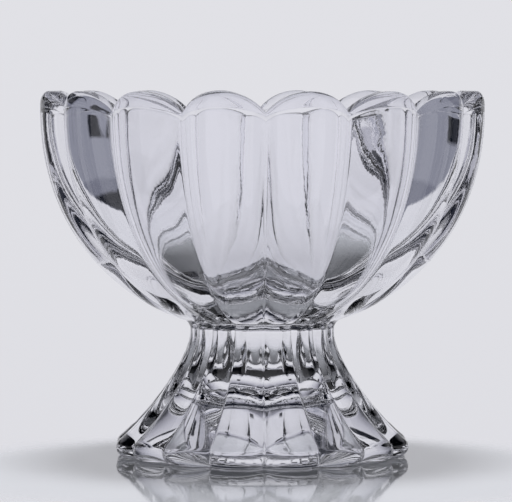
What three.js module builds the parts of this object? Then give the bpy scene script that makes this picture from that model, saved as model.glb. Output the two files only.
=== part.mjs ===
// A clear pressed-glass dessert bowl: a petalled bowl, stuck hot onto a petalled hollow foot.
// Millimetres, +Z up. The foot stands on z = 0, the axis is Z, and a groove between two petals faces -Y.

import * as THREE from 'three';

// Pattern round the axis
const petalCount = 16;
const facetsPerPetal = 6;

// Heights
const footHeight = 31.3; // from the table to the joint between foot and bowl
const bowlHeight = 58.7; // from the joint to the petal tops
const uprightHeight = 4.6; // the wall stands upright this far below the petal tops
const floorThickness = 7.7; // glass on the axis, from the joint to the inside of the bowl

// Radii over the middle of a petal
const rimRadius = 55.2;
const neckRadius = 18;
const footRadius = 36.6;

// Depths of the grooves between petals
const rimGroove = 4.2;
const insideGroove = 1.5;
const neckGroove = 1.0;
const footGroove = 2.8;

// Rim
const rimWall = 6.4; // wall over the middle of a petal
const petalRise = 4.9; // petal top above the notches beside it
const outerRoundWide = 2.0; // rounding of the rim's outer edge
const outerRoundHigh = 3.9;
const innerRoundWide = 2.4; // rounding of the rim's inner edge
const innerRoundHigh = 3.0;
const notchRounding = 0.25; // share of the rounding that is left in a notch
const roundingLimit = 0.8; // most of the wall that the two rounded edges may take

// Wall: how full its curve is, where 2 is an ellipse
const wallFullness = 2.1;

// Neck: a fillet runs from the upright neck out onto the bowl's sloping underside
const neckFillet = 2.4;
const undersideSlope = THREE.MathUtils.degToRad(19);

// Foot: the neck drops straight, then swings out to the flare above the rounded toe
const neckStraight = 0.8;
const neckPull = 5.5; // how far the curve holds to the neck
const flarePull = 12.5; // how far the curve holds to the flare
const flareSlope = THREE.MathUtils.degToRad(40);
const toeRadius = 2.4;

// Hollow under the foot: a cone with a shallow dome on top
const ringWidth = 5.05; // flat standing ring, over the middle of a petal
const hollowTopRadius = 17;
const hollowSideHeight = 11.5;
const hollowDomeRise = 3.5;

// Steps along the outlines
const filletSteps = 3;
const wallSteps = 10;
const rimSteps = 2;
const insideSteps = 9;
const domeSteps = 4;
const toeSteps = 5;
const flareSteps = 9;

const halfPetal = Math.PI / petalCount;
const quarterTurn = Math.PI / 2;
const petalTop = footHeight + bowlHeight;
const bulgeHeight = petalTop - uprightHeight;

// Numbers from 0 to 1 in equal steps, without the 0.
function shares(count) {
  return Array.from({ length: count }, (_, index) => (index + 1) / count);
}

// Radius of a petal section at an angle from the petal's middle: one circular arc from groove to groove.
function petalRadius(crest, groove, angle) {
  if (crest === 0) return 0;
  const reach = groove * Math.sin(halfPetal);
  const bulge = crest - groove * Math.cos(halfPetal);
  const arc = (reach ** 2 + bulge ** 2) / (2 * bulge);
  const centre = crest - arc;
  return centre * Math.cos(angle) + Math.sqrt(arc ** 2 - (centre * Math.sin(angle)) ** 2);
}

// Height of a petal's edge at an angle from its middle: a circular arch from notch to notch.
function petalHeight(crest, notch, angle) {
  const rise = crest - notch;
  if (rise === 0) return crest;
  const reach = rimRadius * Math.sin(halfPetal);
  const arch = (reach ** 2 + rise ** 2) / (2 * rise);
  return crest - arch + Math.sqrt(arch ** 2 - (reach * angle / halfPetal) ** 2);
}

// Full quarter ellipse from its lowest point on the axis out to its widest radius, upright above that.
function wallRadius(widest, depth, height) {
  const below = Math.max(bulgeHeight - height, 0) / depth;
  return widest * Math.max(1 - below ** wallFullness, 0) ** (1 / wallFullness);
}

// The bowl's outline from the axis at the joint, up the outside, over the rim and down the inside.
// It is drawn over the middle of a petal, where along is 0, and down a groove, where along is 1.
function bowlOutline(along) {
  const outline = [new THREE.Vector2(0, footHeight)];
  const grooved = (radius, height) => {
    const depth = THREE.MathUtils.mapLinear(radius, neckRadius, rimRadius, neckGroove, rimGroove);
    outline.push(new THREE.Vector2(radius - along * depth, height));
  };

  grooved(neckRadius, footHeight);
  const filletTurn = quarterTurn - undersideSlope;
  for (const share of shares(filletSteps)) {
    const turn = share * filletTurn;
    grooved(neckRadius + neckFillet * (1 - Math.cos(turn)), footHeight + neckFillet * Math.sin(turn));
  }

  const top = petalTop - along * petalRise;
  const outside = rimRadius - along * rimGroove;
  const inside = rimRadius - rimWall - along * insideGroove;
  const roundingRoom = roundingLimit * (outside - inside) / (outerRoundWide + innerRoundWide);
  const rounding = Math.min(THREE.MathUtils.lerp(1, notchRounding, along), roundingRoom);
  const outerWide = rounding * outerRoundWide;
  const innerWide = rounding * innerRoundWide;
  const outerHigh = rounding * outerRoundHigh;
  const innerHigh = rounding * innerRoundHigh;

  const wallStartRadius = neckRadius + neckFillet * (1 - Math.cos(filletTurn));
  const wallStart = footHeight + neckFillet * Math.sin(filletTurn);
  const startShare = 1 - (wallStartRadius / rimRadius) ** wallFullness;
  const wallDepth = (bulgeHeight - wallStart) / startShare ** (1 / wallFullness);
  for (const share of shares(wallSteps)) {
    const height = THREE.MathUtils.lerp(wallStart, top - outerHigh, 1 - Math.cos(share * quarterTurn));
    grooved(wallRadius(rimRadius, wallDepth, height), height);
  }

  for (const share of shares(rimSteps)) {
    const turn = share * quarterTurn;
    outline.push(new THREE.Vector2(
      outside - outerWide * (1 - Math.cos(turn)),
      top - outerHigh * (1 - Math.sin(turn)),
    ));
  }
  for (const share of [0, ...shares(rimSteps)]) {
    const turn = share * quarterTurn;
    outline.push(new THREE.Vector2(
      inside + innerWide * (1 - Math.sin(turn)),
      top - innerHigh * (1 - Math.cos(turn)),
    ));
  }

  const insideFloor = footHeight + floorThickness;
  for (const share of shares(insideSteps)) {
    const height = THREE.MathUtils.lerp(insideFloor, top - innerHigh, 1 - Math.sin(share * quarterTurn));
    outline.push(new THREE.Vector2(wallRadius(inside, bulgeHeight - insideFloor, height), height));
  }
  return outline;
}

// The foot's outline from the top of the hollow, down to the ring, round the toe and up to the joint.
function footOutline(along) {
  const hollowMouth = footRadius - toeRadius - ringWidth;
  const domeRadius = (hollowTopRadius ** 2 + hollowDomeRise ** 2) / (2 * hollowDomeRise);
  const domeTurn = Math.asin(hollowTopRadius / domeRadius);
  const domeTop = hollowSideHeight + hollowDomeRise;
  const outline = [new THREE.Vector2(0, domeTop)];
  for (const share of shares(domeSteps)) {
    const turn = share * domeTurn;
    outline.push(new THREE.Vector2(domeRadius * Math.sin(turn), domeTop - domeRadius * (1 - Math.cos(turn))));
  }
  outline.push(new THREE.Vector2(hollowMouth, 0));

  const grooved = (radius, height) => {
    const depth = THREE.MathUtils.mapLinear(radius, neckRadius, footRadius, neckGroove, footGroove);
    outline.push(new THREE.Vector2(radius - along * depth, height));
  };
  const toeEnd = quarterTurn - flareSlope;
  for (const share of [0, ...shares(toeSteps)]) {
    const turn = THREE.MathUtils.lerp(-quarterTurn, toeEnd, share);
    grooved(footRadius - toeRadius + toeRadius * Math.cos(turn), toeRadius + toeRadius * Math.sin(turn));
  }

  const toeTop = new THREE.Vector2(
    footRadius - toeRadius + toeRadius * Math.cos(toeEnd),
    toeRadius + toeRadius * Math.sin(toeEnd),
  );
  const flareHold = new THREE.Vector2(
    toeTop.x - flarePull * Math.cos(flareSlope),
    toeTop.y + flarePull * Math.sin(flareSlope),
  );
  const neckEnd = new THREE.Vector2(neckRadius, footHeight - neckStraight);
  const neckHold = new THREE.Vector2(neckRadius, neckEnd.y - neckPull);
  const flare = new THREE.CubicBezierCurve(toeTop, flareHold, neckHold, neckEnd);
  for (const share of shares(flareSteps)) {
    const point = flare.getPoint(share);
    grooved(point.x, point.y);
  }
  grooved(neckRadius, footHeight);
  outline.push(new THREE.Vector2(0, footHeight));
  return outline;
}

// A turned solid pressed into petals: one outline over the petal middles and one down the grooves.
function petalledSolid(name, outlineAt, material) {
  const crest = outlineAt(0);
  const groove = outlineAt(1);
  const facets = petalCount * facetsPerPetal;
  const geometry = new THREE.LatheGeometry(crest, facets);
  const position = geometry.attributes.position;
  for (let index = 0; index < position.count; index++) {
    const facet = Math.floor(index / crest.length) % facets;
    const step = index % crest.length;
    const around = facet / facets * 2 * Math.PI;
    const angle = ((facet % facetsPerPetal) / facetsPerPetal * 2 - 1) * halfPetal;
    const radius = petalRadius(crest[step].x, groove[step].x, angle);
    const height = petalHeight(crest[step].y, groove[step].y, angle);
    position.setXYZ(index, radius * Math.sin(around), -radius * Math.cos(around), height);
  }
  geometry.computeVertexNormals();
  const solid = new THREE.Mesh(geometry, material);
  solid.name = name;
  return solid;
}

// Both pieces are the same clear glass, each with its own material.
function clearGlass() {
  return new THREE.MeshStandardMaterial({
    color: 0xdfe5ea,
    roughness: 0.05,
    metalness: 0,
    transparent: true,
    opacity: 0.35,
  });
}

const dessertBowl = new THREE.Group();
dessertBowl.name = 'dessert_bowl';
dessertBowl.add(petalledSolid('bowl', bowlOutline, clearGlass()));
dessertBowl.add(petalledSolid('foot', footOutline, clearGlass()));

export default dessertBowl;
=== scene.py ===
# A clear pressed-glass dessert bowl: a petalled bowl, stuck hot onto a petalled hollow foot.
# Metres, +Z up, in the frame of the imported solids: the foot stands on z = 0 and the axis is Z.
import math

import bmesh
import bpy
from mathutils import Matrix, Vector


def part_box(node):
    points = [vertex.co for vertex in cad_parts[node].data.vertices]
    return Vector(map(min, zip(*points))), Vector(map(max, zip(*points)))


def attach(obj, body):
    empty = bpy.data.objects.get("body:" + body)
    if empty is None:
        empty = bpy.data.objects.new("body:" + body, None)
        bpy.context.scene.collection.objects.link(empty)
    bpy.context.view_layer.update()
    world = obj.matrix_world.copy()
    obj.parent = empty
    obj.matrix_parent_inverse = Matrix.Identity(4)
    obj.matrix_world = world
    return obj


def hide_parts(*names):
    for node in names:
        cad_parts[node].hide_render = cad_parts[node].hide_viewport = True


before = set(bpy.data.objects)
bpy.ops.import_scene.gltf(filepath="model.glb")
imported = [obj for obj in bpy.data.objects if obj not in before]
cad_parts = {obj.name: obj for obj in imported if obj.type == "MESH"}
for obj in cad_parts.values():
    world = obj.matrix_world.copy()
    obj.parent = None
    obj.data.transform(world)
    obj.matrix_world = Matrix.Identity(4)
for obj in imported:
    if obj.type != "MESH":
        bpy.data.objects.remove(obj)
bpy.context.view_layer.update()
MM = 0.001
QUARTER_TURN = math.pi / 2

# Heights, from the frame
JOINT_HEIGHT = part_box("foot")[1].z
PETAL_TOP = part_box("bowl")[1].z

# Pattern round the axis
PETAL_COUNT = 16
HALF_PETAL = math.pi / PETAL_COUNT

# Radii over the middle of a petal
RIM_RADIUS = 55.2 * MM
NECK_RADIUS = 18.0 * MM
FOOT_RADIUS = 36.6 * MM

# Grooves between petals: their depths, and the rounding at the bottom of a groove
RIM_GROOVE = 4.2 * MM
INSIDE_GROOVE = 1.5 * MM
NECK_GROOVE = 1.0 * MM
FOOT_GROOVE = 2.8 * MM
GROOVE_FILLET = 0.25 * MM
INSIDE_FILLET = 2.3 * MM

# Bowl: WALL_FULLNESS is 2 for an ellipse, and NOTCH_ROUND is the share of the rim's rounding left in a notch
UPRIGHT_HEIGHT = 4.6 * MM
WALL_FULLNESS = 2.1
FLOOR_THICKNESS = 7.7 * MM
RIM_WALL = 6.4 * MM
PETAL_RISE = 4.9 * MM
NOTCH_ROUND = 0.25
NECK_FILLET = 2.4 * MM
UNDERSIDE_SLOPE = math.radians(19)
BULGE_HEIGHT = PETAL_TOP - UPRIGHT_HEIGHT

# Rim: the width and height of its rounded edges, and the mould seam below the outer one
RIM_OUTER_ROUND = (2.0 * MM, 3.9 * MM)
RIM_INNER_ROUND = (2.4 * MM, 3.0 * MM)
SEAM_WIDE = 0.5 * MM
SEAM_PROUD = 0.06 * MM

# Foot
NECK_STRAIGHT = 0.8 * MM
NECK_PULL = 5.5 * MM
FLARE_PULL = 12.5 * MM
FLARE_SLOPE = math.radians(40)
TOE_RADIUS = 2.4 * MM
RING_WIDTH = 5.05 * MM
HOLLOW_TOP_RADIUS = 17 * MM
HOLLOW_SIDE_HEIGHT = 11.5 * MM
HOLLOW_DOME_RISE = 3.5 * MM

# Steps along the bowl's outline
NECK_FILLET_STEPS = 8
WALL_STEPS = 56
SEAM_STEPS = 6
RIM_OUTER_STEPS = 16
RIM_INNER_STEPS = 12
INSIDE_STEPS = 48

# Steps along the foot's outline
DOME_STEPS = 16
HOLLOW_SIDE_STEPS = 14
TOE_STEPS = 14
FLARE_STEPS = 44
NECK_STEPS = 3

# Steps across a petal, which crowd towards its grooves, and the angle from which an edge is a hard one
STEPS_PER_PETAL = 36
GROOVE_CROWDING = 1.6
HARD_EDGE = math.radians(50)
MERGE_DISTANCE = 0.0001 * MM
NO_LENGTH = 1e-9

# Glass: slow waves and a fine ripple, each by its length and depth
GLASS_TINT = "#FAFAFD"
GLASS_INDEX = 1.52
WAVE_LENGTH = 9 * MM
WAVE_DEPTH = 0.05 * MM
RIPPLE_LENGTH = 1.2 * MM
RIPPLE_DEPTH = 0.003 * MM

# Table: a disc that reaches further in front of the bowl than behind it, and fades out between two radii
TABLE_TONES = ("#D9DCE3", "#DFE2E9")
CLOUD_LENGTH = 60 * MM
TABLE_ROUGHNESS = 0.05
TABLE_INDEX = 1.5
TABLE_PLACE = (0, -35 * MM, 0)
TABLE_RADIUS = 140 * MM
TABLE_SIDES = 96
TABLE_FADE = (64 * MM, 92 * MM)

# Light that the foot gathers onto the table under it, painted into the table as a glow: its strength, and
# the radii between which it fades out
PAINTED_GLOW_STRENGTH = 0.28
PAINTED_GLOW_FADE = (17 * MM, 27 * MM)

# Camera: the photograph's frame, and the place of the bowl in it
PHOTO_WIDTH = 512
PHOTO_HEIGHT = 502
PIXEL = 0.2472 * MM
CAMERA_DISTANCE = 840.5 * MM
EYE_HEIGHT = 92.4 * MM
EYE_PIXEL = 81
AXIS_PIXEL = 262
CAMERA_TURN = math.radians(0.9)
SENSOR_WIDTH = 36

# Lamp: a square softbox high over the bowl
LAMP_SIDE = 0.3
LAMP_POWER = 9.3
LAMP_PLACE = (0, 0.15, 1.1)
LAMP_AIM = (0, 0, 0)

# Even light on the table, besides the lamp
FILL_LIGHT = 0.22

# Most turns that light may take in the glass, and most clear faces that it may pass
GLASS_TURNS = 8
CLEAR_FACES = 32

# Tones of the walls by height: the sine of the angle above the horizon, and the colour there
WALL_TONES = [
    (-1.0, "#CFD0D8"),
    (-0.3, "#DADAE0"),
    (0.03, "#E1E1E6"),
    (0.2, "#DADAE0"),
    (0.42, "#B8B8C2"),
    (0.53, "#8C8C96"),
    (0.6, "#131722"),
]

# Screens before the walls, in degrees: where each starts and ends, counted from straight behind the bowl,
# its lowest and highest angle above the horizon, and its colour. A later screen hides the ones before it,
# and a paired one stands on both sides. Below the horizon the gaps leave the walls bare at every 45 degrees.
OVERHEAD = 91  # a degree past straight up, so that no soft edge shows there
OPPOSITE = 181  # a degree past straight behind the camera
SCREEN_SOFT = math.radians(0.8)
PAIRED_SCREENS = [
    (47, 118, 18, OVERHEAD, "#131722"),
    (47, 118, 8, 18, "#B4B4BE"),
    (116, OPPOSITE, 0, OVERHEAD, "#D4D4DC"),
    (22, 46, 10, 18, "#12151E"),
    (51.5, 77, -50, 8, "#8A8C99"),
    (51.5, 77, -50, -22, "#747684"),
    (77, 84, -50, 4, "#151924"),
    (97, 125, -50, 4, "#151924"),
]
SINGLE_SCREENS = [
    (-71, -65, -9, 0, "#0A0E18"),
    (53, 57, -9, 0, "#0A0E18"),
    (-68, -51.5, -47, -26, "#10131C"),
    (51.5, 77, -60, -46, "#10131C"),
]


def lerp(start, end, share):
    """The value that lies a share of the way from start to end."""
    return start + (end - start) * share


def shares(count):
    """Numbers from 0 to 1 in equal steps, without the 0."""
    return [(index + 1) / count for index in range(count)]


def linear(hex_colour):
    """A colour written as sRGB hex, as linear red, green, blue and alpha."""
    colour = []
    for place in (1, 3, 5):
        channel = int(hex_colour[place:place + 2], 16) / 255
        if channel <= 0.04045:
            colour.append(channel / 12.92)
        else:
            colour.append(((channel + 0.055) / 1.055) ** 2.4)
    return colour + [1.0]


def add_node(tree, kind, settings=None, inputs=None):
    """Adds a node with its settings, and with inputs that are values or links to other nodes' outputs."""
    node = tree.nodes.new(kind)
    for name, value in (settings or {}).items():
        setattr(node, name, value)
    for name, value in (inputs or {}).items():
        if isinstance(value, bpy.types.NodeSocket):
            tree.links.new(value, node.inputs[name])
        else:
            node.inputs[name].default_value = value
    return node


def new_material(name):
    """An empty material and its node tree."""
    material = bpy.data.materials.new(name)
    material.use_nodes = True
    material.node_tree.nodes.clear()
    return material, material.node_tree


def finished_object(name, mesh, materials):
    """Turns a bmesh into an object at the origin, with its materials."""
    data = bpy.data.meshes.new(name)
    mesh.to_mesh(data)
    mesh.free()
    for material in materials:
        data.materials.append(material)
    finished = bpy.data.objects.new(name, data)
    bpy.context.scene.collection.objects.link(finished)
    return finished


# Materials

def pressed_glass():
    """Clear soda-lime glass, pressed and fire polished: bright and hard, with slow waves and ripples."""
    material, tree = new_material("clear_pressed_glass")
    place = add_node(tree, "ShaderNodeTexCoord").outputs["Object"]
    waves = add_node(tree, "ShaderNodeTexNoise", None, {
        "Vector": place, "Scale": 1 / WAVE_LENGTH, "Detail": 1.0, "Roughness": 0.4})
    ripple = add_node(tree, "ShaderNodeTexNoise", None, {
        "Vector": place, "Scale": 1 / RIPPLE_LENGTH, "Detail": 2.0, "Roughness": 0.5})
    wavy = add_node(tree, "ShaderNodeBump", None, {
        "Height": waves.outputs["Fac"], "Strength": 1.0, "Distance": WAVE_DEPTH})
    rippled = add_node(tree, "ShaderNodeBump", None, {
        "Height": ripple.outputs["Fac"], "Strength": 1.0, "Distance": RIPPLE_DEPTH,
        "Normal": wavy.outputs["Normal"]})
    glass = add_node(tree, "ShaderNodeBsdfPrincipled", None, {
        "Base Color": linear(GLASS_TINT), "Roughness": 0.0, "IOR": GLASS_INDEX, "Transmission Weight": 1.0,
        "Normal": rippled.outputs["Normal"]})
    add_node(tree, "ShaderNodeOutputMaterial", None, {"Surface": glass.outputs["BSDF"]})
    return material


def fused_face():
    """The joint between the two pressings, melted into one body of glass, so light goes straight through."""
    material, tree = new_material("fused_glass_joint")
    clear = add_node(tree, "ShaderNodeBsdfTransparent")
    add_node(tree, "ShaderNodeOutputMaterial", None, {"Surface": clear.outputs["BSDF"]})
    return material


def table_top():
    """A pale, polished table top with faint clouds: it mirrors the wall at low angles and fades out. Under
    the foot it has a painted glow in its own tone, standing for the light that the foot gathers there.
    """
    material, tree = new_material("polished_table_top")
    place = add_node(tree, "ShaderNodeTexCoord").outputs["Object"]
    cloud = add_node(tree, "ShaderNodeTexNoise", None, {
        "Vector": place, "Scale": 1 / CLOUD_LENGTH, "Detail": 3.0})
    tone = add_node(tree, "ShaderNodeMix", {"data_type": "RGBA"}, {
        "Factor": cloud.outputs["Fac"], "A": linear(TABLE_TONES[0]), "B": linear(TABLE_TONES[1])})

    # Painted light: near the axis the table glows in its own tone, fading out between two radii, in place of
    # the light that the foot gathers onto it.
    from_axis = add_node(tree, "ShaderNodeVectorMath", {"operation": "DISTANCE"}, {
        0: place, 1: [-value for value in TABLE_PLACE]})
    painted_glow = add_node(tree, "ShaderNodeMapRange", {"interpolation_type": "SMOOTHSTEP"}, {
        "Value": from_axis.outputs["Value"], "From Min": PAINTED_GLOW_FADE[0], "From Max": PAINTED_GLOW_FADE[1],
        "To Min": PAINTED_GLOW_STRENGTH, "To Max": 0.0})
    top = add_node(tree, "ShaderNodeBsdfPrincipled", None, {
        "Base Color": tone.outputs["Result"], "Roughness": TABLE_ROUGHNESS, "IOR": TABLE_INDEX,
        "Emission Color": tone.outputs["Result"], "Emission Strength": painted_glow.outputs["Result"]})

    reach = add_node(tree, "ShaderNodeVectorMath", {"operation": "LENGTH"}, {0: place})
    fade = add_node(tree, "ShaderNodeMapRange", {"interpolation_type": "SMOOTHSTEP"}, {
        "Value": reach.outputs["Value"], "From Min": TABLE_FADE[0], "From Max": TABLE_FADE[1]})
    clear = add_node(tree, "ShaderNodeBsdfTransparent")
    faded = add_node(tree, "ShaderNodeMixShader", None, {
        "Fac": fade.outputs["Result"], 1: top.outputs["BSDF"], 2: clear.outputs["BSDF"]})
    add_node(tree, "ShaderNodeOutputMaterial", None, {"Surface": faded.outputs["Shader"]})
    return material


# The glass pieces

def petal_radius(crest, groove, fillet, angle):
    """Radius of a petal at an angle from its middle: one arc from groove to groove, eased at its ends."""
    if crest < NO_LENGTH:
        return 0.0
    soft = fillet / crest
    to_groove = math.hypot(HALF_PETAL - abs(angle), soft) * HALF_PETAL / math.hypot(HALF_PETAL, soft)
    angle = HALF_PETAL - to_groove
    reach = groove * math.sin(HALF_PETAL)
    bulge = crest - groove * math.cos(HALF_PETAL)
    arc = (reach ** 2 + bulge ** 2) / (2 * bulge)
    centre = crest - arc
    return centre * math.cos(angle) + math.sqrt(arc ** 2 - (centre * math.sin(angle)) ** 2)


def petal_height(crest, notch, angle):
    """Height of a petal's edge at an angle from its middle: a circular arch from notch to notch."""
    rise = crest - notch
    if abs(rise) < NO_LENGTH:
        return crest
    reach = RIM_RADIUS * math.sin(HALF_PETAL)
    arch = (reach ** 2 + rise ** 2) / (2 * rise)
    return crest - arch + math.sqrt(arch ** 2 - (reach * angle / HALF_PETAL) ** 2)


def wall_radius(widest, depth, height):
    """A full quarter ellipse from its lowest point on the axis to its widest radius, upright above that."""
    below = max(BULGE_HEIGHT - height, 0) / depth
    return widest * max(1 - below ** WALL_FULLNESS, 0) ** (1 / WALL_FULLNESS)


def bowl_outline(along):
    """The bowl from the axis at the joint, up the outside, over the rim and down the inside.

    It is drawn over the middle of a petal, where along is 0, and down a groove, where along is 1. A point is
    its radius, its height and the rounding of the groove there."""
    outline = [(0, JOINT_HEIGHT, GROOVE_FILLET)]

    def grooved(radius, height):
        share = (radius - NECK_RADIUS) / (RIM_RADIUS - NECK_RADIUS)
        depth = lerp(NECK_GROOVE, RIM_GROOVE, share)
        outline.append((radius - along * depth, height, GROOVE_FILLET))

    grooved(NECK_RADIUS, JOINT_HEIGHT)
    fillet_turn = QUARTER_TURN - UNDERSIDE_SLOPE
    for share in shares(NECK_FILLET_STEPS):
        turn = share * fillet_turn
        radius = NECK_RADIUS + NECK_FILLET * (1 - math.cos(turn))
        grooved(radius, JOINT_HEIGHT + NECK_FILLET * math.sin(turn))

    rounding = lerp(1, NOTCH_ROUND, along)
    outer_wide, outer_high = [size * rounding for size in RIM_OUTER_ROUND]
    inner_wide, inner_high = [size * rounding for size in RIM_INNER_ROUND]
    top = PETAL_TOP - along * PETAL_RISE
    outside = RIM_RADIUS - along * RIM_GROOVE
    inside = RIM_RADIUS - RIM_WALL - along * INSIDE_GROOVE
    seam_low = top - outer_high
    seam_high = seam_low + SEAM_WIDE * rounding
    inner_shoulder = top - inner_high

    wall_start_radius = NECK_RADIUS + NECK_FILLET * (1 - math.cos(fillet_turn))
    wall_start = JOINT_HEIGHT + NECK_FILLET * math.sin(fillet_turn)
    start_share = 1 - (wall_start_radius / RIM_RADIUS) ** WALL_FULLNESS
    wall_depth = (BULGE_HEIGHT - wall_start) / start_share ** (1 / WALL_FULLNESS)
    for share in shares(WALL_STEPS):
        height = lerp(wall_start, seam_low, 1 - math.cos(share * QUARTER_TURN))
        grooved(wall_radius(RIM_RADIUS, wall_depth, height), height)

    for share in shares(SEAM_STEPS):
        proud = SEAM_PROUD * math.sin(share * math.pi) ** 2
        outline.append((outside + proud, lerp(seam_low, seam_high, share), GROOVE_FILLET))
    for share in shares(RIM_OUTER_STEPS):
        turn = share * QUARTER_TURN
        radius = outside - outer_wide * (1 - math.cos(turn))
        outline.append((radius, lerp(seam_high, top, math.sin(turn)), GROOVE_FILLET))
    for share in [0] + shares(RIM_INNER_STEPS):
        turn = share * QUARTER_TURN
        radius = inside + inner_wide * (1 - math.sin(turn))
        fillet = lerp(GROOVE_FILLET, INSIDE_FILLET, share)
        outline.append((radius, lerp(inner_shoulder, top, math.cos(turn)), fillet))

    inside_floor = JOINT_HEIGHT + FLOOR_THICKNESS
    for share in shares(INSIDE_STEPS):
        height = lerp(inside_floor, inner_shoulder, 1 - math.sin(share * QUARTER_TURN))
        radius = wall_radius(inside, BULGE_HEIGHT - inside_floor, height)
        outline.append((radius, height, INSIDE_FILLET))
    return outline


def foot_outline(along):
    """The foot from the top of the hollow, down to the standing ring, round the toe and up to the joint."""
    hollow_mouth = FOOT_RADIUS - TOE_RADIUS - RING_WIDTH
    dome_radius = (HOLLOW_TOP_RADIUS ** 2 + HOLLOW_DOME_RISE ** 2) / (2 * HOLLOW_DOME_RISE)
    dome_turn = math.asin(HOLLOW_TOP_RADIUS / dome_radius)
    dome_top = HOLLOW_SIDE_HEIGHT + HOLLOW_DOME_RISE
    outline = [(0, dome_top, GROOVE_FILLET)]
    for share in shares(DOME_STEPS):
        turn = share * dome_turn
        height = dome_top - dome_radius * (1 - math.cos(turn))
        outline.append((dome_radius * math.sin(turn), height, GROOVE_FILLET))
    for share in shares(HOLLOW_SIDE_STEPS):
        radius = lerp(HOLLOW_TOP_RADIUS, hollow_mouth, share)
        outline.append((radius, lerp(HOLLOW_SIDE_HEIGHT, 0, share), GROOVE_FILLET))

    def grooved(radius, height):
        share = (radius - NECK_RADIUS) / (FOOT_RADIUS - NECK_RADIUS)
        depth = lerp(NECK_GROOVE, FOOT_GROOVE, share)
        outline.append((radius - along * depth, height, GROOVE_FILLET))

    def toe_point(turn):
        toe_centre = Vector((FOOT_RADIUS - TOE_RADIUS, TOE_RADIUS))
        return toe_centre + TOE_RADIUS * Vector((math.cos(turn), math.sin(turn)))

    toe_end = QUARTER_TURN - FLARE_SLOPE
    for share in [0] + shares(TOE_STEPS):
        grooved(*toe_point(lerp(-QUARTER_TURN, toe_end, share)))

    toe_top = toe_point(toe_end)
    flare_hold = toe_top + FLARE_PULL * Vector((-math.cos(FLARE_SLOPE), math.sin(FLARE_SLOPE)))
    neck_end = Vector((NECK_RADIUS, JOINT_HEIGHT - NECK_STRAIGHT))
    neck_hold = neck_end - Vector((0, NECK_PULL))
    for share in shares(FLARE_STEPS):
        rest = 1 - share
        grooved(*(toe_top * rest ** 3 + flare_hold * 3 * rest ** 2 * share
                  + neck_hold * 3 * rest * share ** 2 + neck_end * share ** 3))
    for share in shares(NECK_STEPS):
        grooved(NECK_RADIUS, lerp(neck_end.y, JOINT_HEIGHT, share))
    outline.append((0, JOINT_HEIGHT, GROOVE_FILLET))
    return outline


def petalled_piece(name, outline_at, glass, joint):
    """Spins an outline over one petal, presses the petal in and repeats it round the axis."""
    crest = outline_at(0)
    groove = outline_at(1)
    mesh = bmesh.new()
    step_of = mesh.verts.layers.int.new("outline_step")
    corners = []
    for step, (radius, height, _) in enumerate(crest):
        corner = mesh.verts.new((0, -radius, height))
        corner[step_of] = step
        corners.append(corner)
    edges = [mesh.edges.new(pair) for pair in zip(corners, corners[1:])]
    bmesh.ops.spin(mesh, geom=corners + edges, axis=(0, 0, 1), angle=2 * HALF_PETAL, steps=STEPS_PER_PETAL)

    for corner in mesh.verts:
        share = math.atan2(corner.co.x, -corner.co.y) / HALF_PETAL - 1
        share = math.copysign(1 - max(1 - abs(share), 0) ** GROOVE_CROWDING, share)
        angle = share * HALF_PETAL
        step = corner[step_of]
        crest_radius, crest_height, fillet = crest[step]
        groove_radius, groove_height = groove[step][:2]
        radius = petal_radius(crest_radius, groove_radius, fillet, angle)
        height = petal_height(crest_height, groove_height, angle)
        around = HALF_PETAL + angle
        corner.co = (radius * math.sin(around), -radius * math.cos(around), height)
    mesh.verts.layers.int.remove(step_of)
    bmesh.ops.remove_doubles(mesh, verts=mesh.verts, dist=MERGE_DISTANCE)

    for edge in mesh.edges:
        edge.smooth = edge.calc_face_angle(0) < HARD_EDGE
    for face in mesh.faces:
        face.smooth = True
        at_joint = all(abs(corner.co.z - JOINT_HEIGHT) < MERGE_DISTANCE for corner in face.verts)
        face.material_index = int(at_joint)

    copies = PETAL_COUNT - 1
    bmesh.ops.spin(mesh, geom=mesh.verts[:] + mesh.edges[:] + mesh.faces[:], axis=(0, 0, 1),
                   angle=2 * HALF_PETAL * copies, steps=copies, use_duplicate=True)
    bmesh.ops.remove_doubles(mesh, verts=mesh.verts, dist=MERGE_DISTANCE)
    bmesh.ops.recalc_face_normals(mesh, faces=mesh.faces)
    return finished_object(name, mesh, [glass, joint])


# The studio

def lay_table():
    """The plain pale floor that the bowl stands on."""
    mesh = bmesh.new()
    bmesh.ops.create_circle(mesh, cap_ends=True, segments=TABLE_SIDES, radius=TABLE_RADIUS)
    table = finished_object("floor", mesh, [table_top()])
    table.location = TABLE_PLACE


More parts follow.
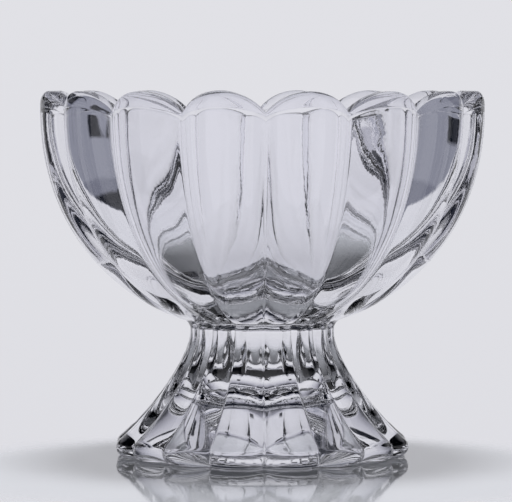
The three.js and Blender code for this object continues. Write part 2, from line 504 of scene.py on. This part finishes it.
def paint_walls(tree, way):
    """Pale walls that darken upwards to a dark ceiling, with the screens before them."""
    height = add_node(tree, "ShaderNodeMapRange", None, {
        "Value": way.outputs["Z"], "From Min": -1.0, "From Max": 1.0})
    walls = add_node(tree, "ShaderNodeValToRGB", None, {"Fac": height.outputs["Result"]})
    stops = walls.color_ramp.elements
    stops.remove(stops[1])
    stops[0].color = linear(WALL_TONES[0][1])
    for rise, colour in WALL_TONES[1:]:
        stops.new((rise + 1) / 2).color = linear(colour)
    tone = walls.outputs["Color"]

    around = add_node(tree, "ShaderNodeMath", {"operation": "ARCTAN2"}, {
        0: way.outputs["X"], 1: way.outputs["Y"]}).outputs["Value"]
    above = add_node(tree, "ShaderNodeMath", {"operation": "ARCSINE"}, {
        0: way.outputs["Z"]}).outputs["Value"]
    mirrored = [(-last, -first, *rest) for first, last, *rest in PAIRED_SCREENS]
    for first, last, lowest, highest, colour in PAIRED_SCREENS + mirrored + SINGLE_SCREENS:
        cover = 1.0
        edges = [(around, first, 1), (around, last, -1), (above, lowest, 1), (above, highest, -1)]
        for value, limit, inwards in edges:
            edge = math.radians(limit)
            soft = inwards * SCREEN_SOFT
            inside = add_node(tree, "ShaderNodeMapRange", {"interpolation_type": "SMOOTHSTEP"}, {
                "Value": value, "From Min": edge - soft, "From Max": edge + soft})
            cover = add_node(tree, "ShaderNodeMath", {"operation": "MULTIPLY"}, {
                0: inside.outputs["Result"], 1: cover}).outputs["Value"]
        tone = add_node(tree, "ShaderNodeMix", {"data_type": "RGBA"}, {
            "Factor": cover, "A": tone, "B": linear(colour)}).outputs["Result"]
    return tone


def surround():
    """The camera, reflections and light through the glass see the walls, and the table gets an even fill."""
    world = bpy.data.worlds.new("studio")
    world.use_nodes = True
    bpy.context.scene.world = world
    tree = world.node_tree
    tree.nodes.clear()
    direction = add_node(tree, "ShaderNodeTexCoord").outputs["Generated"]
    way = add_node(tree, "ShaderNodeSeparateXYZ", None, {"Vector": direction})
    walls = add_node(tree, "ShaderNodeBackground", None, {"Color": paint_walls(tree, way), "Strength": 1.0})
    fill = add_node(tree, "ShaderNodeBackground", None, {
        "Color": linear("#FFFFFF"), "Strength": FILL_LIGHT})

    # The depth of a ray is a whole number, so under a half means that no diffuse surface has scattered it.
    path = add_node(tree, "ShaderNodeLightPath")
    not_scattered = add_node(tree, "ShaderNodeMath", {"operation": "LESS_THAN"}, {
        0: path.outputs["Diffuse Depth"], 1: 0.5})
    seen = 0.0
    for ray in ("Is Camera Ray", "Is Glossy Ray", "Is Transmission Ray"):
        seen = add_node(tree, "ShaderNodeMath", {"operation": "MAXIMUM"}, {
            0: path.outputs[ray], 1: seen}).outputs["Value"]
    share = add_node(tree, "ShaderNodeMath", {"operation": "MULTIPLY"}, {
        0: not_scattered.outputs["Value"], 1: seen})
    light = add_node(tree, "ShaderNodeMixShader", None, {
        "Fac": share.outputs["Value"], 1: fill.outputs["Background"], 2: walls.outputs["Background"]})
    add_node(tree, "ShaderNodeOutputWorld", None, {"Surface": light.outputs["Shader"]})


def hang_lamp():
    """The lamp lights the table and casts the bowl's shadow, and doesn't show in the glass."""
    data = bpy.data.lights.new("softbox", "AREA")
    data.size = LAMP_SIDE
    data.energy = LAMP_POWER
    lamp = bpy.data.objects.new("softbox", data)
    lamp.location = LAMP_PLACE
    lamp.rotation_euler = (Vector(LAMP_PLACE) - Vector(LAMP_AIM)).to_track_quat("Z", "Y").to_euler()
    lamp.visible_glossy = False
    lamp.visible_transmission = False
    bpy.context.scene.collection.objects.link(lamp)


def place_camera():
    """The camera stands about level with the rim, turned a little aside, and looks down a little."""
    data = bpy.data.cameras.new("camera")
    camera = bpy.data.objects.new("camera", data)
    bpy.context.scene.collection.objects.link(camera)
    pixels_away = CAMERA_DISTANCE / PIXEL
    data.sensor_width = SENSOR_WIDTH
    data.lens = SENSOR_WIDTH * pixels_away / PHOTO_WIDTH
    aside = (PHOTO_WIDTH / 2 - AXIS_PIXEL) * PIXEL
    cos = math.cos(CAMERA_TURN)
    sin = math.sin(CAMERA_TURN)
    camera.location = (aside * cos - CAMERA_DISTANCE * sin, -aside * sin - CAMERA_DISTANCE * cos, EYE_HEIGHT)
    look_down = math.atan((PHOTO_HEIGHT / 2 - EYE_PIXEL) / pixels_away)
    camera.rotation_euler = (QUARTER_TURN - look_down, 0, -CAMERA_TURN)
    bpy.context.scene.camera = camera


def set_light_paths():
    """Light takes few turns in the glass, so its deepest folds stay dark. Reflections throw no glints."""
    cycles = bpy.context.scene.cycles
    cycles.max_bounces = GLASS_TURNS
    cycles.transmission_bounces = GLASS_TURNS
    cycles.glossy_bounces = GLASS_TURNS
    cycles.transparent_max_bounces = CLEAR_FACES
    cycles.caustics_reflective = False


glass = pressed_glass()
joint = fused_face()
for name, outline in (("bowl", bowl_outline), ("foot", foot_outline)):
    piece = petalled_piece("glass_" + name, outline, glass, joint)
    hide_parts(name)
    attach(piece, "root")

lay_table()
surround()
hang_lamp()
place_camera()
set_light_paths()
bpy.context.scene.view_settings.view_transform = "Standard"
